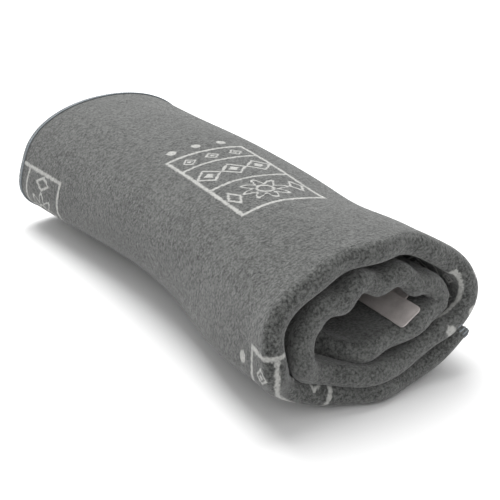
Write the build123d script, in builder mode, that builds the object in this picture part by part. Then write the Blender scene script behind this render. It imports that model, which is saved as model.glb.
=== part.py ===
from build123d import *
import os
from math import cos, radians, sin

# A fleece throw, folded in half twice into a long strip of four plies and then rolled up.
# The roll lies on its side. Frame: +Z up, the roll's axis along Y, the folded (neat) end at -Y
# and the hemmed end at +Y. The origin is on the floor, under the middle of the roll.

# Driving dimensions, in millimetres.
ROLL_LENGTH = 385.0      # the strip's width, which is the length of the roll
PLY = 3.4                # one thickness of fleece
STACK = 4 * PLY          # the strip has four plies
TURN_GAP = 1.6           # air between one turn and the next
TURN_STEP = STACK + TURN_GAP
NEAR_SIZE = (166.0, 104.0)   # width and height of the folded end
FAR_SIZE = (152.0, 98.5)     # width and height of the hemmed end, a little tighter
RIM_ROUND = 5.0          # rounding of the folded end's rims
FLOOR_PRESS = 0.1        # the underside is pressed flat by this much where it lies on the floor
THREAD = 0.6             # thickness of the overlock thread over a cut edge
THREAD_SWEEP = 0.7       # degrees of the tail's sweep that the thread on its free edge takes
INNER_EDGE_DEPTH = 1.3 * PLY    # depth of the second cut edge below the strip's outer face

TAIL_START = 38.0        # where the loose tail leaves the underside
TAIL_GAP = 0.5           # clearance between the tail and the rest of the strip
TAIL_SWEEP = 42.0        # degrees that the tail follows round the lower right corner
CORE_RISE = 10.0         # how far the strip's inner end turns up inside the roll

LABEL_LENGTH = 50.0
LABEL_WIDTH = 18.0
LABEL_THICKNESS = 1.0
LABEL_ROUND = 3.0
LABEL_TILT = 32.0        # degrees, across the label, because it lies on a sloping turn
LABEL_EDGE = (17.0, 46.5)    # x and z of the label's lower long edge
LABEL_INSIDE = 3.0       # the label's tip stops this far inside the folded end
BACK_LEAF_SHORT = 18.0   # the back leaf is this much shorter
BACK_LEAF_SHIFT = 5.0    # and shows this much beside the front leaf
LEAF_GAP = 0.2           # air between the two leaves
SEAM_INSET = 3.0         # the seam's distance from the leaf's inner end
SEAM_WIDTH = 1.5

NEAR_PLANE = Plane((0, -ROLL_LENGTH / 2, -FLOOR_PRESS), x_dir=(1, 0, 0), z_dir=(0, -1, 0))
CORNER_RADII = [45.0, 46.0, 46.0, 36.0, 32.0, 30.0, 28.0, 23.0, 22.0]


def far_plane(inset):
    """The section plane that lies inset millimetres inside the hemmed end."""
    return NEAR_PLANE.offset(inset - ROLL_LENGTH)


def turn_points(size, depth):
    """Corners of the rolled strip's section, depth millimetres in from its outer face."""
    width, height = size
    points = [(TAIL_START, depth)]
    for turn in range(2):
        side = width / 2 - turn * TURN_STEP - depth
        low = turn * TURN_STEP + depth
        high = height - turn * TURN_STEP - depth
        points += [(-side, low), (-side, high), (side, high), (side, low + TURN_STEP)]
    core_side = width / 2 - 2 * TURN_STEP - depth
    core_low = 2 * TURN_STEP + depth
    core_top = 2 * TURN_STEP + STACK + CORE_RISE
    points += [(-core_side, core_low), (-core_side, core_top)]
    return points


def turn_outline(size, outer, inner):
    """Closed outline of the rolled strip between two depths below its outer face."""
    outside = FilletPolyline(*turn_points(size, outer), radius=[r - outer for r in CORNER_RADII])
    inside = FilletPolyline(*turn_points(size, inner), radius=[r - inner for r in CORNER_RADII])
    Line(outside @ 0, inside @ 0)
    Line(outside @ 1, inside @ 1)


def tail_outline(size, outer, inner, sweep_from, sweep_to):
    """Closed outline of the tail between two depths and, past the straight, two sweep angles."""
    corner = CORNER_RADII[3]
    centre_x = size[0] / 2 - corner
    centre_z = TURN_STEP + corner
    outer_radius = centre_z - outer
    inner_radius = centre_z - inner
    outside = CenterArc((centre_x, centre_z), outer_radius, -90 + sweep_from, sweep_to - sweep_from)
    inside = CenterArc((centre_x, centre_z), inner_radius, -90 + sweep_from, sweep_to - sweep_from)
    Line(outside @ 1, inside @ 1)
    if sweep_from == 0:
        start = TAIL_START + TAIL_GAP
        outside_run = Line((start, outer), outside @ 0)
        inside_run = Line((start, inner), inside @ 0)
        Line(outside_run @ 0, inside_run @ 0)
    else:
        Line(outside @ 0, inside @ 0)


def rim_edges(strip):
    """The two long chains of edges round the folded end of a piece of the strip."""
    end_edges = strip.faces().sort_by(Axis.Y)[0].edges()
    return [edge for edge in end_edges if abs(edge.length - STACK) > 0.01]


os.makedirs("parts", exist_ok=True)

# The cloth from the tail's root inwards: two and a half turns of the four-ply strip.
with BuildPart() as fleece_roll:
    with BuildSketch(NEAR_PLANE):
        with BuildLine():
            turn_outline(NEAR_SIZE, 0, STACK)
        make_face()
    with BuildSketch(far_plane(THREAD)):
        with BuildLine():
            turn_outline(FAR_SIZE, 0, STACK)
        make_face()
    loft(ruled=True)
    fillet(rim_edges(fleece_roll), RIM_ROUND)
    split(bisect_by=Plane.XY, keep=Keep.TOP)
fleece_roll.part.label = "fleece_roll"
export_step(fleece_roll.part, "parts/fleece_roll.step")

# The loose tail, the last hand's breadth of the same cloth, hugging the lower right corner.
with BuildPart() as fleece_tail:
    with BuildSketch(NEAR_PLANE):
        with BuildLine():
            tail_outline(NEAR_SIZE, 0, STACK, 0, TAIL_SWEEP)
        make_face()
    with BuildSketch(far_plane(THREAD)):
        with BuildLine():
            tail_outline(FAR_SIZE, 0, STACK, 0, TAIL_SWEEP)
        make_face()
    loft(ruled=True)
    fillet(rim_edges(fleece_tail), RIM_ROUND)
    split(bisect_by=Plane.XY, keep=Keep.TOP)
fleece_tail.part.label = "fleece_tail"
export_step(fleece_tail.part, "parts/fleece_tail.step")

# Overlock thread over the cut edge at the hemmed end. The strip's outer ply and its second
# ply both end there in a cut edge, and each thread follows its ply round the whole spiral.
for name, outer in (("overlock_outer", 0.0), ("overlock_inner", INNER_EDGE_DEPTH)):
    with BuildPart() as overlock:
        with BuildSketch(far_plane(0)):
            with BuildLine():
                turn_outline(FAR_SIZE, outer, outer + PLY)
            make_face()
        extrude(amount=THREAD)
        split(bisect_by=Plane.XY, keep=Keep.TOP)
    overlock.part.label = name
    export_step(overlock.part, f"parts/{name}.step")

# Overlock over the tail's free edge, from one end of the roll to the other.
with BuildPart() as overlock_tail:
    with BuildSketch(NEAR_PLANE.offset(-RIM_ROUND)):
        with BuildLine():
            tail_outline(NEAR_SIZE, 0, STACK, TAIL_SWEEP, TAIL_SWEEP + THREAD_SWEEP)
        make_face()
    with BuildSketch(far_plane(THREAD)):
        with BuildLine():
            tail_outline(FAR_SIZE, 0, STACK, TAIL_SWEEP, TAIL_SWEEP + THREAD_SWEEP)
        make_face()
    loft(ruled=True)
overlock_tail.part.label = "overlock_tail"
export_step(overlock_tail.part, "parts/overlock_tail.step")

# Overlock over the strip's inner end, which stands up inside the roll.
with BuildPart() as overlock_core:
    for plane, size in ((NEAR_PLANE, NEAR_SIZE), (far_plane(THREAD), FAR_SIZE)):
        outer_x, end_z = turn_points(size, 0)[-1]
        with BuildSketch(plane):
            with Locations((outer_x, end_z)):
                Rectangle(STACK, THREAD, align=(Align.MIN, Align.MIN))
    loft(ruled=True)
overlock_core.part.label = "overlock_core"
export_step(overlock_core.part, "parts/overlock_core.step")

# The folded suede label: two leaves that lie one on the other, sewn in at their inner end.
# Their common plane runs along the roll's axis and is tilted across it.
tilt = radians(LABEL_TILT)
label_plane = Plane(
    origin=(LABEL_EDGE[0], LABEL_INSIDE - ROLL_LENGTH / 2, LABEL_EDGE[1]),
    x_dir=(cos(tilt), 0, sin(tilt)),
    z_dir=(-sin(tilt), 0, cos(tilt)),
)
back_plane = label_plane.offset(-LABEL_THICKNESS - LEAF_GAP)
leaves = (
    ("label_front_leaf", label_plane, LABEL_LENGTH, 0.0),
    ("label_back_leaf", back_plane, LABEL_LENGTH - BACK_LEAF_SHORT, BACK_LEAF_SHIFT),
)
for name, plane, length, shift in leaves:
    with BuildPart() as leaf:
        with BuildSketch(plane):
            with Locations((shift, LABEL_LENGTH)):
                Rectangle(LABEL_WIDTH, length, align=(Align.MIN, Align.MAX))
            fillet(vertices().group_by(Axis.Y)[0], LABEL_ROUND)
        extrude(amount=LABEL_THICKNESS)
    leaf.part.label = name
    export_step(leaf.part, f"parts/{name}.step")

# The bar of thread that sews the label in, across the inner end of the front leaf.
with BuildPart() as label_seam_thread:
    with BuildSketch(label_plane.offset(LABEL_THICKNESS)):
        with Locations((LABEL_WIDTH / 2, LABEL_LENGTH - SEAM_INSET)):
            Rectangle(LABEL_WIDTH - 2, SEAM_WIDTH)
    extrude(amount=THREAD)
label_seam_thread.part.label = "label_seam_thread"
export_step(label_seam_thread.part, "parts/label_seam_thread.step")
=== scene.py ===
# %% [markdown]
# # A rolled fleece throw
# This lesson dresses a rolled-up fleece throw. The frame of solid parts is already made: a plain
# spiral stands for the cloth, thin strips for the overlocked edges and two plates for the label.
# Here every one of them gets its real surface. The throw is one sheet of cloth, so it is made as
# a flat sheet first, and then folded and rolled, just as a person does it.

# %% Load the frame and read its sizes
import bpy
import math
import random
import numpy as np
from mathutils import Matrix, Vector


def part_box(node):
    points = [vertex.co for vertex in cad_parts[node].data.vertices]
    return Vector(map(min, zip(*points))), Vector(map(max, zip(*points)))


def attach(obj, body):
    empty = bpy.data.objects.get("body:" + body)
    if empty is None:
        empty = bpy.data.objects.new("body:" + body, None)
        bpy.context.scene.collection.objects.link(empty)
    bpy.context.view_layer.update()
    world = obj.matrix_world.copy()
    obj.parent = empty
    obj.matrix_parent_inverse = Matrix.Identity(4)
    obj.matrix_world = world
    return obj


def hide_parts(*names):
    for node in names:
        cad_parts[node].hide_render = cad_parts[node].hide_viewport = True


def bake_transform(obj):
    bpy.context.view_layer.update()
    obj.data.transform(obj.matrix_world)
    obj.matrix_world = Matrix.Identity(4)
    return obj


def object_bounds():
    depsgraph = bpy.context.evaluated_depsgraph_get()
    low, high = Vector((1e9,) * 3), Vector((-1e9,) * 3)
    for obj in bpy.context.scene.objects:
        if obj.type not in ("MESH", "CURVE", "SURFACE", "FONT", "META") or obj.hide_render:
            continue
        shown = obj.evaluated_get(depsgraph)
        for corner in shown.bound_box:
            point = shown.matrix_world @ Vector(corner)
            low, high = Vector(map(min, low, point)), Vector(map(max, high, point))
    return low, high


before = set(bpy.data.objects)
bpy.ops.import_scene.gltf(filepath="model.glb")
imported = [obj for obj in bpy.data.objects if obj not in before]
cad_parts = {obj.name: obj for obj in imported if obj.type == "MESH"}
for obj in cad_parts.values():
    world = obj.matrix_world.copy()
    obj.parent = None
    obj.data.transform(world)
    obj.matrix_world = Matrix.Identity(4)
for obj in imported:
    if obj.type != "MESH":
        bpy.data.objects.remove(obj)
cad_low, cad_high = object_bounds()

near_low, near_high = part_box("fleece_roll")
far_low, far_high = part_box("overlock_outer")
ROLL_LENGTH = cad_high.y - cad_low.y
NEAR_SIZE = (near_high[0] - near_low[0], near_high[2])
FAR_SIZE = (far_high[0] - far_low[0], far_high[2])
print("roll length", round(ROLL_LENGTH, 4), "near end", NEAR_SIZE, "far end", FAR_SIZE)


# %% [markdown]
# ## Camera, floor and light
# The camera stands to the front left of the folded end and looks down a little. A long lens keeps
# the roll from widening too much towards the viewer. The light is a wide soft box above the far
# end, a little to the right, a much weaker one in front, and a pale surround, as in a product studio.

# %% Place the camera
CAMERA_TURN = math.radians(33.07)
CAMERA_RISE = math.radians(26.0)
CAMERA_DISTANCE = 0.92
CAMERA_ASIDE = 0.0200
CAMERA_UP = 0.0267
SENSOR = 36.0
FOCAL_LENGTH = 86.4

camera_back = Vector((
    -math.sin(CAMERA_TURN) * math.cos(CAMERA_RISE),
    -math.cos(CAMERA_TURN) * math.cos(CAMERA_RISE),
    math.sin(CAMERA_RISE),
))
camera_right = Vector((math.cos(CAMERA_TURN), -math.sin(CAMERA_TURN), 0))
camera_up = camera_back.cross(camera_right)
camera_place = camera_back * CAMERA_DISTANCE + camera_right * CAMERA_ASIDE + camera_up * CAMERA_UP

bpy.ops.object.select_all(action="DESELECT")
bpy.ops.object.camera_add(location=camera_place)
camera = bpy.context.object
camera.name = "camera"
camera.rotation_mode = "QUATERNION"
camera.rotation_quaternion = (-camera_back).to_track_quat("-Z", "Y")
camera.data.lens = FOCAL_LENGTH
camera.data.sensor_width = SENSOR
bpy.context.scene.camera = camera
print("camera at", [round(c, 3) for c in camera.location])

# %% Lay the floor and hang the lights
FLOOR_SIZE = 12.0
bpy.ops.mesh.primitive_plane_add(size=FLOOR_SIZE, location=(0, 0, cad_low.z - 0.0004))
floor = bpy.context.object
floor.name = "studio_floor"
floor_material = bpy.data.materials.new("studio_floor")
floor_material.use_nodes = True
floor_shader = floor_material.node_tree.nodes["Principled BSDF"]
floor_shader.inputs["Base Color"].default_value = (0.92, 0.92, 0.92, 1)
floor_shader.inputs["Roughness"].default_value = 0.9
floor.data.materials.append(floor_material)

world = bpy.data.worlds.new("studio_surround")
world.use_nodes = True
world.node_tree.nodes["Background"].inputs["Color"].default_value = (1, 1, 1, 1)
world.node_tree.nodes["Background"].inputs["Strength"].default_value = 0.62
bpy.context.scene.world = world
bpy.context.scene.view_settings.view_transform = "Standard"


def soft_box(name, place, size, power):
    """A square area light that points at the middle of the roll."""
    bpy.ops.object.light_add(type="AREA", location=place)
    lamp = bpy.context.object
    lamp.name = name
    lamp.data.size = size
    lamp.data.energy = power
    aim = Vector((0, 0, NEAR_SIZE[1] / 2)) - Vector(place)
    lamp.rotation_mode = "QUATERNION"
    lamp.rotation_quaternion = aim.to_track_quat("-Z", "Y")
    return lamp


key_box = soft_box("key_soft_box", (0.30, 0.8, 1.8), 1.7, 56)
fill_box = soft_box("fill_soft_box", (-1.0, -1.5, 1.1), 1.2, 3)
print("lights", key_box.data.energy, fill_box.data.energy)

# %% [markdown]
# ## The cloth: one flat sheet
# The throw is cut 1.5 m by 0.76 m. Two coordinates name every point of it: *across* runs over the
# 1.5 m that is folded in four, and *along* runs over the 0.76 m that is rolled up, from the loose
# tail on the outside to the end in the core. A grid primitive gives the sheet. Its rows are not
# evenly spaced: they are close together where the cloth shows and wide apart where it is hidden
# between other plies, because a hidden millimetre needs no faces.

# %% Sizes of the cloth
CUT = (1.50, 0.76)
PLY = 0.0034                 # one ply and the air around it
CLOTH_THICKNESS = 0.0030
STACK = 4 * PLY
TURN_STEP = 0.0152           # from one turn of the strip to the next, at the far end
LOOSE_STEP = 0.0212          # the same at the near end, where the strip is plumper
print("strip of", round(STACK * 1000, 1), "mm, rolled at a step of", TURN_STEP * 1000, "mm")


# %% [markdown]
# ## Folding in four
# Seen along the roll, the folded strip is one line that runs to and fro four times. The outer ply
# starts at the hem at the far end, runs to the near end, turns in a wide fold round the two inner
# plies, and so on. The fold profile gives, for each row of the grid, its place along the roll and
# its depth under the strip's outer face.

# %% The fold profile
def run(start, stop, depth, count, ease=1.0):
    """Rows of a straight ply. An ease over 1 crowds the rows towards both of its ends."""
    t = np.linspace(0, 1, count, endpoint=False)
    if ease > 1:
        t = t + (ease - 1) * np.sin(2 * math.pi * t) / (-2 * math.pi)
    return [(start + (stop - start) * f, depth) for f in t]


def fold(place, depth_from, depth_to, side, count):
    """Rows of a half-round fold; side is -1 at the near end and +1 at the far end."""
    radius = abs(depth_to - depth_from) / 2
    middle = (depth_from + depth_to) / 2
    rows = []
    for i in range(count):
        a = math.pi * i / count
        depth = middle + (depth_from - middle) * math.cos(a)
        rows.append((place + side * radius * math.sin(a), depth))
    return rows


HALF = ROLL_LENGTH / 2
WIDE = 1.5 * PLY
NARROW = 0.5 * PLY
near_fold = -HALF + WIDE + CLOTH_THICKNESS / 2
inner_fold = near_fold + 0.002
far_fold = HALF - 0.004 - NARROW

profile = run(HALF - 0.001, near_fold, 0.5 * PLY, 118)
profile += fold(near_fold, 0.5 * PLY, 3.5 * PLY, -1, 12)
profile += run(near_fold, near_fold + 0.07, 3.5 * PLY, 18)
profile += run(near_fold + 0.07, far_fold, 3.5 * PLY, 14)
profile += fold(far_fold, 3.5 * PLY, 2.5 * PLY, 1, 5)
profile += run(far_fold, inner_fold, 2.5 * PLY, 12)
profile += fold(inner_fold, 2.5 * PLY, 1.5 * PLY, -1, 4)
profile += run(inner_fold, HALF - 0.003, 1.5 * PLY, 13)
profile.append((HALF - 0.003, 1.5 * PLY))
profile = np.array(profile)
steps = np.hypot(*np.diff(profile, axis=0).T)
across = np.concatenate([[0], np.cumsum(steps)])
print("rows", len(profile), "folded length", round(across[-1], 4), "m of", CUT[0])


# %% [markdown]
# ## The spiral
# The strip is rolled up loosely and the roll sags under its own weight, so a turn is not round but
# a flattened oval. Each turn is a superellipse, and it steps inwards at the lower right, where it
# climbs over the tail. The last part sags across the hollow of the core and turns up at the left.
# A smooth curve through these points is the middle surface of the strip, at the near end and, a
# little smaller, at the far end.

# %% Points of the spiral
TAIL_ANGLE = -30.0           # where the tail's free edge lies, below the right side
SQUARENESS = 2.12            # exponent of the superellipse: 2 is an ellipse, more is boxier
STEP_IN = (-362.0, -402.0)   # the strip climbs inwards between these two angles of each turn
BOTTOM_STEP = 0.0128         # the lower turns are pressed closer together


def smooth(t):
    """Smooth step from 0 to 1."""
    t = np.clip(t, 0, 1)
    return t * t * (3 - 2 * t)


def oval_point(angle, size, step):
    """Middle of the strip at an angle in degrees that keeps falling as the strip winds inwards."""
    inset = 0.0
    for turn in range(2):
        start = STEP_IN[0] - 360 * turn
        stop = STEP_IN[1] - 360 * turn
        inset += float(smooth((start - angle) / (start - stop)))
    a = math.radians(angle)
    c, s = math.cos(a), math.sin(a)
    bottom = STACK / 2 + inset * BOTTOM_STEP
    top = size[1] - STACK / 2 - inset * step
    half_height = (top - bottom) / 2
    half_width = size[0] / 2 - STACK / 2 - inset * step
    x = half_width * math.copysign(abs(c) ** (2 / SQUARENESS), c)
    z = (top + bottom) / 2 + half_height * math.copysign(abs(s) ** (2 / SQUARENESS), s)
    return (x, z)


# The core: past the right wall the strip sags across the hollow and turns up at the left.
CORE_POINTS = [(0.0530, 0.0490), (0.0470, 0.0470), (0.0375, 0.0460), (0.0290, 0.0415),
               (0.0200, 0.0378), (0.0080, 0.0358), (-0.0080, 0.0347), (-0.0220, 0.0350),
               (-0.0315, 0.0385), (-0.0350, 0.0455), (-0.0350, 0.0520)]
ANGLE_STEP = 11.0            # degrees between two points of a turn
LAST_ANGLE = -706.0          # where the ovals end and the core begins
CURVE_PARTS = 16             # curve points between two of these points
SMOOTHING = 31               # curve points that the smoothing reaches over, an odd number
SECTION_POINTS = 2000


def spiral(size, step):
    """Evenly spaced points of the middle surface's section, and its outward normals."""
    angles = np.arange(TAIL_ANGLE, LAST_ANGLE, -ANGLE_STEP)
    points = [oval_point(a, size, step) for a in angles]
    shrink = size[0] / NEAR_SIZE[0]
    points += [(x * shrink, z) for x, z in CORE_POINTS]
    points = np.array(points)
    ends = np.vstack([2 * points[0] - points[1], points, 2 * points[-1] - points[-2]])
    t = np.linspace(0, 1, CURVE_PARTS, endpoint=False)[:, None]
    curve = []
    for i in range(1, len(ends) - 2):
        a, b, c, d = ends[i - 1], ends[i], ends[i + 1], ends[i + 2]
        curve.append(0.5 * (2 * b + (c - a) * t + (2 * a - 5 * b + 4 * c - d) * t ** 2
                            + (3 * b - a - 3 * c + d) * t ** 3))
    curve = np.vstack(curve + [points[-1:]])
    kernel = np.hanning(SMOOTHING)
    kernel /= kernel.sum()
    margin = SMOOTHING // 2
    padded = np.vstack([np.repeat(curve[:1], margin, 0), curve, np.repeat(curve[-1:], margin, 0)])
    curve = np.stack([np.convolve(padded[:, k], kernel, "valid") for k in range(2)], 1)
    length = np.concatenate([[0], np.cumsum(np.hypot(*np.diff(curve, axis=0).T))])
    even = np.linspace(0, length[-1], SECTION_POINTS)
    curve = np.stack([np.interp(even, length, curve[:, k]) for k in range(2)], 1)
    tangent = np.gradient(curve, axis=0)
    tangent /= np.linalg.norm(tangent, axis=1)[:, None]
    normal = np.stack([-tangent[:, 1], tangent[:, 0]], 1)
    return curve, normal, length[-1]


RIDGELESS_END = 0.1290       # the length of strip that sags under the label, without ridges
near_curve, near_normal, near_length = spiral(NEAR_SIZE, LOOSE_STEP)
INNER_RIDGES_END = 1 - RIDGELESS_END / near_length
far_curve, far_normal, far_length = spiral(FAR_SIZE, TURN_STEP)
print("spiral length near", round(near_length, 3), "far", round(far_length, 3), "m of", CUT[1])

# %% [markdown]
# ## From flat to rolled
# Every grid point is moved to its place: the fold profile says how far along the roll and how deep
# in the strip it lies, and the spiral says where the strip is. The near end leans back at the top,
# its rims are plump, and the turns stand out unevenly. Slow waves keep the surface from looking
# machined.

# %% How the cloth gives, in metres unless a comment says otherwise
WAIST = 0.075                # share of the width that the middle of the roll loses
BOW = 0.0040                 # the middle of the roll lies this much to the right
BOW_UP = 0.0022              # and its upper side this much higher
BELLY = 0.0020               # the lower left bulges by this much everywhere,
NEAR_BELLY = 0.0195          # by this much more near the folded end
FAR_BELLY = 0.0170           # and by this much more towards the hemmed end
SHOULDER_DROP = 0.0045       # the upper right sinks behind the folded end
CROWN_RISE = 0.0020          # and rises again past the middle
FAR_FLARE = 0.022            # share by which the hemmed end is wider
RIM_PLUMP = 0.32             # share by which the folds at the near end are thicker
TIP_DROP = 0.0030            # the tail's tip lies this much closer to the roll
RIDGE_HEIGHT = 0.0030        # ridges of the inner turn at the near end
RIDGE_PITCH = 0.031
PUCKER_HEIGHT = 0.0019       # short puckers round the near rim
SWELL_HEIGHT = 0.0011        # long, shallow waves over the whole outer turn
LEAN = 0.016                 # the top of the near end leans back by this much
RIPPLE = 0.0021              # unevenness of the near rim
CORE_DRAWN_IN = 0.030        # the strip's inner end lies this far inside the near end


# %% Columns of the grid
OUTER_TURN = 0.455           # share of the strip that is the outer turn
OUTER_COLUMNS = 128
INNER_COLUMNS = 112


def columns():
    """Shares of the strip's length, closely spaced over the outer turn and wider inside."""
    fine = np.linspace(0, OUTER_TURN, OUTER_COLUMNS, endpoint=False)
    coarse = np.linspace(OUTER_TURN, 1, INNER_COLUMNS)
    return np.concatenate([fine, coarse])


def bump_at(distance, width):
    """A bell-shaped weight: 1 where the distance is zero, fading over the width."""
    return np.exp(-(distance / width) ** 2)


def waves(a, b, seed, count, low, high):
    """A smooth, repeatable unevenness over two coordinates in metres, between about -1 and 1."""
    dice = random.Random(seed)
    total = np.zeros(np.broadcast(a, b).shape)
    for _ in range(count):
        turn = dice.uniform(0, 2 * math.pi)
        rate = 2 * math.pi * dice.uniform(low, high)
        start = dice.uniform(0, 2 * math.pi)
        total += np.sin(rate * (a * math.cos(turn) + b * math.sin(turn)) + start)
    return total / math.sqrt(count) / 1.2


def slump(x, z, t, from_rim):
    """How the whole roll gives: a waist, a bow to the right and a bulge at the lower left."""
    bow = np.sin(math.pi * np.clip(t, 0, 1))
    rim = bump_at(from_rim, 0.06)
    height = z / NEAR_SIZE[1]
    lower_left = smooth(-x / 0.08) * (1 - smooth(height / 0.6))
    lower_right = smooth(x / 0.07) * (1 - smooth((height - 0.25) / 0.5))
    upper_right = smooth(height) * smooth(0.3 + x / 0.08)
    belly = BELLY + NEAR_BELLY * bump_at(t - 0.19, 0.18) + FAR_BELLY * smooth((t - 0.5) / 0.45)
    x = x * (1 - WAIST * bow)
    x = x + BOW * bow + 0.0015 * rim * smooth(0.5 + x / 0.16) - 0.0010 * t * t
    x = x - belly * lower_left + 0.0072 * rim * lower_right
    z = z + BOW_UP * bow * smooth(height) + 0.0020 * rim * lower_left
    shoulder = bump_at(t - 0.27, 0.11)
    crown = bump_at(t - 0.62, 0.16)
    z = z + (CROWN_RISE * crown - SHOULDER_DROP * shoulder + 0.0018 * rim) * upper_right
    x = x * (1 + FAR_FLARE * bump_at((1 - t) * ROLL_LENGTH, 0.05))
    return x, z


def roll_up(y, depth, s):
    """Places of the cloth's points, from place along the roll, depth and share of the strip."""
    y, depth, s = np.broadcast_arrays(y, depth, s)
    t = (y + HALF) / ROLL_LENGTH
    from_rim = y + HALF
    index = s * (len(near_curve) - 1)
    grid = np.arange(len(near_curve))

    def sample(table):
        return np.interp(index.ravel(), grid, table).reshape(index.shape)

    # The strip's middle surface and its outward normal.
    near_x, near_z = sample(near_curve[:, 0]), sample(near_curve[:, 1])
    far_x, far_z = sample(far_curve[:, 0]), sample(far_curve[:, 1])
    normal_x = (1 - t) * sample(near_normal[:, 0]) + t * sample(far_normal[:, 0])
    normal_z = (1 - t) * sample(near_normal[:, 1]) + t * sample(far_normal[:, 1])
    size = np.hypot(normal_x, normal_z)
    normal_x, normal_z = normal_x / size, normal_z / size
    x = (1 - t) * near_x + t * far_x
    z = (1 - t) * near_z + t * far_z

    # How far each ply lies off that surface.
    plump = 1 + RIM_PLUMP * bump_at(from_rim, 0.022)
    pressed = 1 - 0.10 * smooth(-normal_z) * (z < 0.05)
    tip = smooth(1 - s / 0.035)
    out = (STACK / 2 - depth) * plump * pressed * (1 - 0.14 * tip) - TIP_DROP * tip
    distance = s * near_length
    inner = smooth((s - 0.70) / 0.04) * (1 - smooth((s - INNER_RIDGES_END) / 0.03))
    ridges = np.sin(2 * math.pi * distance / RIDGE_PITCH + 12 * y)
    out = out + RIDGE_HEIGHT * inner * bump_at(from_rim, 0.09) * ridges
    pucker = waves(distance, 0.4 * y, 23, 6, 9.0, 22.0) * bump_at(from_rim, 0.035)
    out = out + PUCKER_HEIGHT * pucker * smooth((z - 0.010) / 0.02)
    swell = waves(y, distance, 3, 7, 2.0, 6.0) * smooth(1 - s / 0.42)
    out = out + SWELL_HEIGHT * swell * smooth((z - 0.012) / 0.03)
    x, z = slump(x + normal_x * out, z + normal_z * out, t, from_rim)

    # The near end isn't flat: it leans, ripples, and its underside sways to and fro.
    lean = LEAN * smooth(near_z / NEAR_SIZE[1])
    ripple = RIPPLE * waves(distance, 0 * distance, 11, 6, 10.0, 26.0)
    drawn_in = CORE_DRAWN_IN * smooth((s - 0.94) / 0.06)
    low = 1 - smooth(near_z / 0.045)
    sway = low * (0.013 * smooth(-near_x / 0.05) - 0.006 * bump_at(near_x + 0.010, 0.022))
    y = y + (lean + ripple + drawn_in + sway) * np.exp(-np.clip(from_rim, 0, 1) / 0.10)
    return x, y, z


def corner_points(mesh):
    """The index of the point at each corner of each face."""
    corners = np.zeros(len(mesh.loops), int)
    mesh.loops.foreach_get("vertex_index", corners)
    return corners


# %% Make the sheet
share = columns()
column_count, row_count = len(share), len(profile)
bpy.ops.object.select_all(action="DESELECT")
bpy.ops.mesh.primitive_grid_add(x_subdivisions=column_count - 1, y_subdivisions=row_count - 1, size=1)
fleece = bpy.context.object
fleece.name = "fleece_throw"
flat = np.zeros(len(fleece.data.vertices) * 3)
fleece.data.vertices.foreach_get("co", flat)
flat = flat.reshape(-1, 3)
column = np.rint((flat[:, 0] + 0.5) * (column_count - 1)).astype(int)
row = np.rint((flat[:, 1] + 0.5) * (row_count - 1)).astype(int)

x, y, z = roll_up(profile[:, :1], profile[:, 1:], share[None, :])
placed = np.stack([x[row, column], y[row, column], z[row, column]], 1)
placed[:, 2] = np.maximum(placed[:, 2], cad_low.z + CLOTH_THICKNESS / 2)
fleece.data.vertices.foreach_set("co", placed.ravel())

uv = np.stack([across[row] / across[-1] * CUT[0], (1 - share[column]) * CUT[1]], 1)
fleece.data.uv_layers[0].name = "cloth"
fleece.data.uv_layers["cloth"].data.foreach_set("uv", uv[corner_points(fleece.data)].ravel())
fleece.data.update()
print("sheet of", len(fleece.data.vertices), "points")

# %% Give it thickness
thick = fleece.modifiers.new("cloth_thickness", "SOLIDIFY")
thick.thickness = CLOTH_THICKNESS
thick.offset = 0
thick.use_even_offset = False
bpy.context.view_layer.objects.active = fleece
fleece.select_set(True)
bpy.ops.object.modifier_apply(modifier=thick.name)
bpy.ops.object.shade_smooth()
print("cloth of", len(fleece.data.polygons), "faces")

# %% [markdown]
# ## Where the tail bends
# The loose tail is the last hand's breadth of the same sheet, so no seam parts it from the roll.
# When the tail is lifted, the sheet bends at the tail's root. That bend would be measured along the strip
# and not in a straight line, because the next turn lies only a ply away from the tail, so each point of the
# sheet gets its share along the strip here; the pieces themselves are only baked in place and do not bend.


def bend_with_tail(piece):
    """Bakes the piece's placement into its points; nothing makes it follow the tail."""
    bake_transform(piece)


def points_of(piece):
    """Places of a mesh's points as rows of x, y, z."""
    co = np.zeros(len(piece.data.vertices) * 3)
    piece.data.vertices.foreach_get("co", co)
    return co.reshape(-1, 3)


sheet_share = np.zeros(len(fleece.data.vertices))
loop_uv = np.zeros(len(fleece.data.loops) * 2)
fleece.data.uv_layers["cloth"].data.foreach_get("uv", loop_uv)
sheet_share[corner_points(fleece.data)] = 1 - loop_uv.reshape(-1, 2)[:, 1] / CUT[1]

# %% [markdown]
# ## Fleece pile
# Polar fleece is a knit brushed until its loops stand up as a short, curly pile. Three sizes of
# noise give it: single curls of a millimetre, tufts of half a centimetre, and slow clouds where a
# hand has stroked the pile one way or the other. They live in one node group, and both the colour
# and the bump read it: the colour is painted darker where the pile is low, as painted shade in its
# hollows. Sheen gives the soft light rim.

# %% Helpers for node groups
def new_group(name, inputs, outputs):
    """An empty node group with its input and output nodes."""
    group = bpy.data.node_groups.new(name, "ShaderNodeTree")
    for label, kind in inputs:
        group.interface.new_socket(label, in_out="INPUT", socket_type=kind)
    for label, kind in outputs:
        group.interface.new_socket(label, in_out="OUTPUT", socket_type=kind)
    return group, group.nodes.new("NodeGroupInput"), group.nodes.new("NodeGroupOutput")


def maths(tree, operation, *values):
    """One Math node; each value is a number or the socket that feeds it."""
    node = tree.nodes.new("ShaderNodeMath")
    node.operation = operation
    for socket, value in zip(node.inputs, values):
        if isinstance(value, (int, float)):
            socket.default_value = value
        else:
            tree.links.new(value, socket)
    return node.outputs[0]


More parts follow.
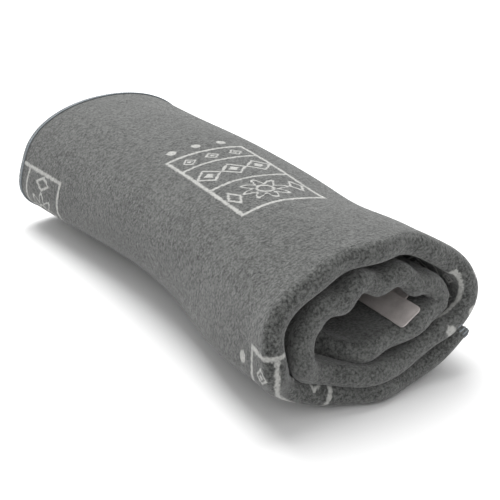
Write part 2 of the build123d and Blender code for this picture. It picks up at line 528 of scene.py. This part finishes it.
def noise(tree, vector, scale, detail, roughness):
    """A Noise texture's value on a vector in metres; scale is bumps per metre."""
    node = tree.nodes.new("ShaderNodeTexNoise")
    node.inputs["Scale"].default_value = scale
    node.inputs["Detail"].default_value = detail
    node.inputs["Roughness"].default_value = roughness
    tree.links.new(vector, node.inputs["Vector"])
    return node.outputs[0]


def ramp(tree, value, low, high, to_low, to_high):
    """A value mapped smoothly from one range to another and held at the ends."""
    node = tree.nodes.new("ShaderNodeMapRange")
    node.interpolation_type = "SMOOTHSTEP"
    for label, number in (("From Min", low), ("From Max", high), ("To Min", to_low), ("To Max", to_high)):
        node.inputs[label].default_value = number
    tree.links.new(value, node.inputs["Value"])
    return node.outputs[0]


print("node helpers ready")

# %% The pile group
pile_group, pile_in, pile_out = new_group(
    "fleece_pile", [("Vector", "NodeSocketVector")],
    [("Shade", "NodeSocketFloat"), ("Height", "NodeSocketFloat")])
curls = noise(pile_group, pile_in.outputs[0], 560, 4, 0.72)
tufts = noise(pile_group, pile_in.outputs[0], 230, 2, 0.5)
clouds = noise(pile_group, pile_in.outputs[0], 17, 3, 0.55)
height = maths(pile_group, "ADD", maths(pile_group, "MULTIPLY", curls, 0.85),
               maths(pile_group, "MULTIPLY", tufts, 0.2))
# The colour factor follows the height, so the low hollows between curls get painted shade; the clouds add a
# little random tone.
shade = maths(pile_group, "ADD", maths(pile_group, "MULTIPLY", height, 0.88),
              maths(pile_group, "MULTIPLY", clouds, 0.10))
pile_group.links.new(ramp(pile_group, shade, 0.34, 0.68, 0.0, 1.0), pile_out.inputs["Shade"])
pile_group.links.new(height, pile_out.inputs["Height"])
print("pile group of", len(pile_group.nodes), "nodes")

# %% [markdown]
# ## The print
# A light motif is printed on the pile in staggered columns: a frame with two cross bars, lozenges,
# and an eight-petalled rosette. It is drawn with Math nodes on the cloth's own flat coordinates in
# metres, so it follows every fold. Its lines are wavered and broken by the pile, as ink that only
# reaches the tips of the fibres.

# %% Motif sizes, in metres on the flat cloth
FRAME_HEIGHT = 0.110
FRAME_WIDTH = 0.064
ROW_PITCH = 0.405
COLUMN_PITCH = 0.241         # two staggered columns
FIRST_MOTIF = (0.2233, 0.2595)   # across, and distance from the tail
PRINT_SKEW = 0.145
LINE_HALF = 0.0013
THIN_LINE = LINE_HALF * 0.8
EDGE_SOFT = 0.0007
CROSS_BARS = (-0.033, 0.0075)
# Two rows of lozenges: middle of the row, pitch, reach of a lozenge and half its line.
LOZENGE_ROWS = ((-0.0433, 0.0195, 0.0050, 0.0010), (-0.0128, 0.0205, 0.0096, 0.0012))
ROSETTE_MIDDLE = 0.0305
ROSETTE_RADIUS = 0.0128
PETAL_REACH = 0.0040
HEART_RADIUS = 0.0058
SIDE_LOZENGE = (0.0245, 0.0048)  # distance beside the rosette, and reach
DOT_PITCH = 0.0213
DOT_GAP = 0.012              # the dots stand this far outside the frame
DOT_RADIUS = 0.0036

# %% The motif group
print_group, print_in, print_out = new_group(
    "frame_motif", [("Across", "NodeSocketFloat"), ("Along", "NodeSocketFloat")],
    [("Mask", "NodeSocketFloat")])
P = print_group
across_in, along_in = print_in.outputs[:2]


def inside(distance, limit=0.0):
    """1 where a distance is under the limit, with a soft edge."""
    return ramp(P, distance, limit - EDGE_SOFT, limit + EDGE_SOFT, 1.0, 0.0)


def repeat(value, pitch):
    """The signed distance to the middle of the nearest repeat."""
    wrapped = maths(P, "FLOORED_MODULO", maths(P, "ADD", value, pitch / 2), pitch)
    return maths(P, "SUBTRACT", wrapped, pitch / 2)


def outline(distance, reach, half):
    """A line of twice the half width where a distance equals the reach."""
    return inside(maths(P, "ABSOLUTE", maths(P, "SUBTRACT", distance, reach)), half)


def length_of(a, b):
    """The length of a vector of two values."""
    return maths(P, "SQRT", maths(P, "ADD", maths(P, "MULTIPLY", a, a), maths(P, "MULTIPLY", b, b)))


def motif(start_across, start_along):
    """Mask of one set of motifs, repeated over the cloth from a first one."""
    p = repeat(maths(P, "SUBTRACT", across_in, start_across), ROW_PITCH)
    q = repeat(maths(P, "SUBTRACT", along_in, start_along), COLUMN_PITCH)
    ap, aq = maths(P, "ABSOLUTE", p), maths(P, "ABSOLUTE", q)

    # The frame and its two cross bars.
    box = maths(P, "MAXIMUM", maths(P, "SUBTRACT", ap, FRAME_HEIGHT / 2),
                maths(P, "SUBTRACT", aq, FRAME_WIDTH / 2))
    marks = [inside(maths(P, "ABSOLUTE", box), LINE_HALF)]
    within = inside(box)
    for bar in CROSS_BARS:
        marks.append(maths(P, "MULTIPLY", outline(p, bar, THIN_LINE), within))

    # The lozenges, each with a smaller full one inside.
    for middle, pitch, reach, half in LOZENGE_ROWS:
        cell = maths(P, "ABSOLUTE", repeat(q, pitch))
        diamond = maths(P, "ADD", cell, maths(P, "ABSOLUTE", maths(P, "SUBTRACT", p, middle)))
        ring = maths(P, "MAXIMUM", outline(diamond, reach, half), inside(diamond, reach * 0.42))
        marks.append(maths(P, "MULTIPLY", ring, within))

    # The rosette: a circle whose radius swells eight times, round a smaller one.
    down = maths(P, "SUBTRACT", p, ROSETTE_MIDDLE)
    radius = length_of(down, q)
    turn = maths(P, "MULTIPLY", maths(P, "ARCTAN2", down, q), 8.0)
    swing = maths(P, "MULTIPLY", maths(P, "COSINE", turn), PETAL_REACH)
    marks.append(outline(radius, maths(P, "ADD", ROSETTE_RADIUS, swing), LINE_HALF))
    marks.append(outline(radius, HEART_RADIUS, THIN_LINE))

    # A tall lozenge on each side of it, and three dots over the frame.
    aside, reach = SIDE_LOZENGE
    leaf = maths(P, "ADD", maths(P, "ABSOLUTE", maths(P, "SUBTRACT", aq, aside)),
                 maths(P, "MULTIPLY", maths(P, "ABSOLUTE", down), 0.55))
    marks.append(outline(leaf, reach, THIN_LINE))
    dot = length_of(maths(P, "ADD", p, FRAME_HEIGHT / 2 + DOT_GAP), repeat(q, DOT_PITCH))
    marks.append(maths(P, "MULTIPLY", inside(dot, DOT_RADIUS), inside(aq, FRAME_WIDTH / 2)))

    total = marks[0]
    for mark in marks[1:]:
        total = maths(P, "MAXIMUM", total, mark)
    return total


first = motif(*FIRST_MOTIF)
second = motif(FIRST_MOTIF[0] + ROW_PITCH / 2, FIRST_MOTIF[1] - COLUMN_PITCH / 2)
print_group.links.new(maths(P, "MAXIMUM", first, second), print_out.inputs["Mask"])
print("motif group of", len(print_group.nodes), "nodes")


# %% Helpers for materials
def new_material(name, base_color, roughness, sheen):
    """A material whose uniform values sit on the shader's own sockets."""
    material = bpy.data.materials.new(name)
    material.use_nodes = True
    shader = material.node_tree.nodes["Principled BSDF"]
    shader.inputs["Base Color"].default_value = (*base_color, 1)
    shader.inputs["Roughness"].default_value = roughness
    shader.inputs["Sheen Weight"].default_value = sheen
    shader.inputs["Sheen Roughness"].default_value = 0.45
    shader.inputs["Specular IOR Level"].default_value = 0.2
    return material, material.node_tree, shader


def blend_colors(tree, factor, dark, light):
    """A colour between two; each is a colour tuple or a socket."""
    node = tree.nodes.new("ShaderNodeMix")
    node.data_type = "RGBA"
    tree.links.new(factor, node.inputs["Factor"])
    for socket, value in ((node.inputs[6], dark), (node.inputs[7], light)):
        if isinstance(value, tuple):
            socket.default_value = (*value, 1)
        else:
            tree.links.new(value, socket)
    return node.outputs[2]


def bump(tree, shader, height_socket, distance, strength):
    """Bump in metres on a shader."""
    node = tree.nodes.new("ShaderNodeBump")
    node.inputs["Distance"].default_value = distance
    node.inputs["Strength"].default_value = strength
    tree.links.new(height_socket, node.inputs["Height"])
    tree.links.new(node.outputs["Normal"], shader.inputs["Normal"])


def coordinates(tree):
    """Object coordinates, which are metres in the row frame."""
    return tree.nodes.new("ShaderNodeTexCoord").outputs["Object"]


# %% The fleece material
# The darker fleece colour is painted shade for the pile's hollows; the lighter one is the fleece's own grey.
FLEECE_HOLLOW_SHADE = (0.022, 0.023, 0.022)
FLEECE_LIGHT = (0.162, 0.166, 0.160)
PRINT_COLOR = (0.47, 0.47, 0.45)
fleece_material, tree, shader = new_material("grey_fleece", FLEECE_LIGHT, 0.95, 0.35)
place = coordinates(tree)
pile = tree.nodes.new("ShaderNodeGroup")
pile.node_tree = pile_group
tree.links.new(place, pile.inputs["Vector"])
cloth_uv = tree.nodes.new("ShaderNodeUVMap")
cloth_uv.uv_map = "cloth"
parts = tree.nodes.new("ShaderNodeSeparateXYZ")
tree.links.new(cloth_uv.outputs["UV"], parts.inputs[0])
waver = maths(tree, "MULTIPLY", maths(tree, "SUBTRACT", noise(tree, place, 420, 2, 0.6), 0.5), 0.0028)
from_tail = maths(tree, "SUBTRACT", CUT[1], parts.outputs[1])
past_first = maths(tree, "SUBTRACT", from_tail, FIRST_MOTIF[1])
skewed = maths(tree, "SUBTRACT", parts.outputs[0], maths(tree, "MULTIPLY", past_first, PRINT_SKEW))
ink = tree.nodes.new("ShaderNodeGroup")
ink.node_tree = print_group
tree.links.new(maths(tree, "ADD", skewed, waver), ink.inputs["Across"])
tree.links.new(maths(tree, "ADD", from_tail, waver), ink.inputs["Along"])
# Painted shade: where the pile is low, the colour runs to the near-black dark, as shade between the curls.
grey = blend_colors(tree, pile.outputs["Shade"], FLEECE_HOLLOW_SHADE, FLEECE_LIGHT)
taken = maths(tree, "MULTIPLY", ink.outputs["Mask"], ramp(tree, pile.outputs["Shade"], 0.0, 0.75, 0.62, 0.97))
tree.links.new(blend_colors(tree, taken, grey, PRINT_COLOR), shader.inputs["Base Color"])
bump(tree, shader, pile.outputs["Height"], 0.0013, 0.9)
fleece.data.materials.append(fleece_material)
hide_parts("fleece_roll", "fleece_tail")
bend_with_tail(fleece)
print("fleece material of", len(tree.nodes), "nodes")

# %% [markdown]
# ## The overlocked edges
# All four edges of the sheet are cut edges, so a machine has wrapped each one in yarn. One yarn
# goes over the edge, down the back, through the cloth and up again, stitch after stitch, and a
# second one runs along the needle line. Each hem is a single long loop of yarn, laid by a short
# formula on the finished cloth, so it follows the cloth round the whole spiral.

# %% Lay yarn over an edge
STITCH = 0.0023
STITCH_DEPTH = 0.0046
YARN_RADIUS = 0.00060
FACE = CLOTH_THICKNESS / 2 + 0.0003
# How far inside the edge and how far off the middle of the cloth the yarn lies, round one stitch.
STITCH_LOOP = [(STITCH_DEPTH, FACE), (0.0020, FACE + 0.0002), (-0.0004, FACE * 0.6),
               (-0.0004, -FACE * 0.6), (0.0020, -FACE - 0.0002), (STITCH_DEPTH, -FACE)]


def cloth_point(across_place, share_place):
    """Middle of the cloth at a place given in metres across and as a share along."""
    place_along = np.interp(across_place, across, profile[:, 0])
    depth = np.interp(across_place, across, profile[:, 1])
    return np.stack(roll_up(place_along, depth, share_place), 1)


def edge_frames(edge, inner, side):
    """Inward directions and face normals along an edge, from matching points a little inside it."""
    inward = inner - edge
    inward /= np.linalg.norm(inward, axis=1)[:, None]
    forward = np.gradient(edge, axis=0)
    normal = side * np.cross(inward, forward)
    normal /= np.linalg.norm(normal, axis=1)[:, None]
    return inward, normal


def lay_yarn(name, edge, inner, side):
    """A hem's yarn as one capped tube, and the index of the edge point under each of its points."""
    inward, normal = edge_frames(edge, inner, side)
    steps_in, steps_off = np.array(STITCH_LOOP).T
    count = len(STITCH_LOOP)
    along_edge = np.arange(len(edge) * count - count) / count
    index = np.arange(len(edge))

    def at(table):
        return np.stack([np.interp(along_edge, index, table[:, k]) for k in range(3)], 1)

    phase = np.arange(len(along_edge)) % count
    yarn = at(edge) + at(inward) * steps_in[phase][:, None] + at(normal) * steps_off[phase][:, None]
    needle = edge[::-1] + inward[::-1] * STITCH_DEPTH + normal[::-1] * (FACE + 0.0003)
    path = np.vstack([yarn, needle])
    path[:, 2] = np.maximum(path[:, 2], cad_low.z + YARN_RADIUS)
    owner = np.concatenate([along_edge, index[::-1]])

    bpy.ops.object.select_all(action="DESELECT")
    bpy.ops.curve.primitive_nurbs_path_add()
    yarn_object = bpy.context.object
    yarn_object.name = name
    curve = yarn_object.data
    curve.splines.clear()
    spline = curve.splines.new("POLY")
    spline.points.add(len(path) - 1)
    spline.points.foreach_set("co", np.hstack([path, np.ones((len(path), 1))]).ravel())
    curve.dimensions = "3D"
    curve.bevel_depth = YARN_RADIUS
    curve.bevel_resolution = 0
    curve.use_fill_caps = True
    bpy.ops.object.convert(target="MESH")
    bpy.ops.object.shade_smooth()
    ring = (len(yarn_object.data.vertices)) // len(path)
    owner = np.resize(np.repeat(owner, ring), len(yarn_object.data.vertices))
    print(name, len(edge), "stitches,", len(yarn_object.data.polygons), "faces, ring of", ring)
    return yarn_object, owner


# %% The yarn's material
YARN_COLOR = (0.270, 0.300, 0.325)
YARN_DARK = (0.170, 0.190, 0.208)
YARN_LIGHT = (0.300, 0.332, 0.358)
yarn_material, tree, shader = new_material("hem_yarn", YARN_COLOR, 0.8, 0.3)
place = coordinates(tree)
plies = noise(tree, place, 2400, 2, 0.6)
slow = noise(tree, place, 60, 2, 0.5)
mixed = maths(tree, "ADD", maths(tree, "MULTIPLY", plies, 0.7), maths(tree, "MULTIPLY", slow, 0.3))
yarn_shade = blend_colors(tree, ramp(tree, mixed, 0.35, 0.65, 0, 1), YARN_DARK, YARN_LIGHT)
tree.links.new(yarn_shade, shader.inputs["Base Color"])
bump(tree, shader, plies, 0.0003, 0.6)
print("yarn material of", len(tree.nodes), "nodes")


# %% The two hems at the far end
def strip_hem(name, node, across_edge, across_inner, side):
    """Yarn over a cut edge that runs round the spiral, from the tail to the core."""
    count = int(near_length / STITCH)
    shares = np.linspace(0.004, 0.996, count)
    edge = cloth_point(np.full(count, across_edge), shares)
    inner = cloth_point(np.full(count, across_inner), shares)
    hem, owner = lay_yarn(name, edge, inner, side)
    hem.data.materials.append(yarn_material)
    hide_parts(node)
    bend_with_tail(hem)
    return hem


strip_hem("outer_hem_yarn", "overlock_outer", 0.0, 0.004, 1)
strip_hem("inner_hem_yarn", "overlock_inner", across[-1], across[-1] - 0.004, -1)


# %% The hems on the tail's free edge and in the core
def end_hem(name, node, share_edge, share_inner, body, side):
    """Yarn over an edge that crosses the strip, through all four plies and their folds."""
    count = int(across[-1] / STITCH)
    places = np.linspace(0.003, across[-1] - 0.003, count)
    edge = cloth_point(places, np.full(count, share_edge))
    inner = cloth_point(places, np.full(count, share_inner))
    hem, _ = lay_yarn(name, edge, inner, side)
    hem.data.materials.append(yarn_material)
    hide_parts(node)
    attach(hem, body)
    return hem


end_hem("tail_hem_yarn", "overlock_tail", 0.0, 0.004, "tail", 1)
end_hem("core_hem_yarn", "overlock_core", 1.0, 0.996, "roll", -1)

# %% [markdown]
# ## The suede label
# A folded suede tape is sewn to the cloth inside the core, and its two leaves stick out
# towards the folded end. Each leaf is a fine grid with its free corners rounded, curled a little
# as handled tape curls, and then thickened. Nothing is written on it.

# %% Sizes of the label
LEAF_THICKNESS = 0.0010
LEAF_CORNER = 0.003
LABEL_TILT = math.radians(32)
LABEL_UP = Vector((-math.sin(LABEL_TILT), 0, math.cos(LABEL_TILT)))
LABEL_ASIDE = Vector((math.cos(LABEL_TILT), 0, math.sin(LABEL_TILT)))


def leaf_sizes(node):
    """Corner, width across the tilt and length of a CAD leaf."""
    low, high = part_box(node)
    drop = LEAF_THICKNESS * math.sin(LABEL_TILT)
    width = (high[0] - low[0] - drop) / math.cos(LABEL_TILT)
    return Vector((low[0] + drop, low[1], low[2])), width, high[1] - low[1]


def make_leaf(name, node, curl, seed):
    """One leaf of the label, bent from its seam towards its free end."""
    corner, width, length = leaf_sizes(node)
    bpy.ops.object.select_all(action="DESELECT")
    bpy.ops.mesh.primitive_grid_add(x_subdivisions=24, y_subdivisions=64, size=1)
    leaf = bpy.context.object
    leaf.name = name
    co = points_of(leaf)
    u, v = co[:, 0] + 0.5, (co[:, 1] + 0.5) * length
    short = np.clip(LEAF_CORNER - v, 0, LEAF_CORNER)
    half = width / 2 - LEAF_CORNER + np.sqrt(LEAF_CORNER ** 2 - short ** 2)
    side = width / 2 + (2 * u - 1) * half
    loose = smooth(1 - v / 0.036)
    rise = curl * loose ** 2 + 0.0004 * waves(side, v, seed, 4, 20, 50) * loose
    rise = rise + LEAF_THICKNESS / 2
    base = np.array(corner)
    placed = base + np.outer(side, LABEL_ASIDE) + np.outer(rise, LABEL_UP) + np.outer(v, (0, 1, 0))
    leaf.data.vertices.foreach_set("co", placed.ravel())
    leaf.data.uv_layers[0].name = "leaf"
    leaf_uv = np.stack([side, v], 1)[corner_points(leaf.data)]
    leaf.data.uv_layers["leaf"].data.foreach_set("uv", leaf_uv.ravel())
    leaf.data.update()
    wall = leaf.modifiers.new("leaf_thickness", "SOLIDIFY")
    wall.thickness = LEAF_THICKNESS
    wall.offset = 0
    edge_round = leaf.modifiers.new("leaf_edges", "BEVEL")
    edge_round.width = 0.00025
    edge_round.segments = 2
    edge_round.limit_method = "ANGLE"
    bpy.ops.object.modifier_apply(modifier=wall.name)
    bpy.ops.object.modifier_apply(modifier=edge_round.name)
    bpy.ops.object.shade_smooth()
    leaf.data.materials.append(suede_material)
    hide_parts(node)
    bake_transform(leaf)
    print(name, round(width * 1000, 1), "by", round(length * 1000, 1), "mm")
    return leaf


# %% The suede
SUEDE_COLOR = (0.415, 0.380, 0.368)
SUEDE_DARK = (0.350, 0.318, 0.308)
SUEDE_LIGHT = (0.480, 0.442, 0.430)
suede_material, tree, shader = new_material("label_suede", SUEDE_COLOR, 0.88, 0.4)
place = coordinates(tree)
nap = noise(tree, place, 1900, 3, 0.7)
strokes = noise(tree, place, 130, 2, 0.5)
mixed = maths(tree, "ADD", maths(tree, "MULTIPLY", nap, 0.55), maths(tree, "MULTIPLY", strokes, 0.45))
suede_shade = blend_colors(tree, ramp(tree, mixed, 0.36, 0.64, 0, 1), SUEDE_DARK, SUEDE_LIGHT)
tree.links.new(suede_shade, shader.inputs["Base Color"])
bump(tree, shader, nap, 0.0003, 0.5)
make_leaf("label_front", "label_front_leaf", 0.0005, 5)
make_leaf("label_back", "label_back_leaf", -0.0006, 8)

# %% The seam that holds the label
seam_low, seam_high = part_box("label_seam_thread")
SEAM_STITCHES = 7
SEAM_RADIUS = 0.00028
seam_start = Vector((seam_low[0], 0, seam_low[2])) + LABEL_UP * SEAM_RADIUS
seam_run = (seam_high[0] - seam_low[0]) / math.cos(LABEL_TILT)
seam_path = []
for i in range(SEAM_STITCHES):
    for part, lift in ((0.05, -0.0005), (0.15, 0.0003), (0.75, 0.0003), (0.85, -0.0005)):
        point = seam_start + LABEL_ASIDE * ((i + part) * seam_run / SEAM_STITCHES) + LABEL_UP * lift
        seam_path.append((point.x, (seam_low[1] + seam_high[1]) / 2, point.z))
bpy.ops.object.select_all(action="DESELECT")
bpy.ops.curve.primitive_nurbs_path_add()
seam = bpy.context.object
seam.name = "label_seam_stitches"
seam.data.splines.clear()
seam_spline = seam.data.splines.new("POLY")
seam_spline.points.add(len(seam_path) - 1)
for knot, point in zip(seam_spline.points, seam_path):
    knot.co = (*point, 1)
seam.data.dimensions = "3D"
seam.data.bevel_depth = SEAM_RADIUS
seam.data.bevel_resolution = 2
seam.data.use_fill_caps = True
bpy.ops.object.convert(target="MESH")
bpy.ops.object.shade_smooth()
seam.data.materials.append(yarn_material)
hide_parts("label_seam_thread")
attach(seam, "label")
print("seam of", SEAM_STITCHES, "stitches")
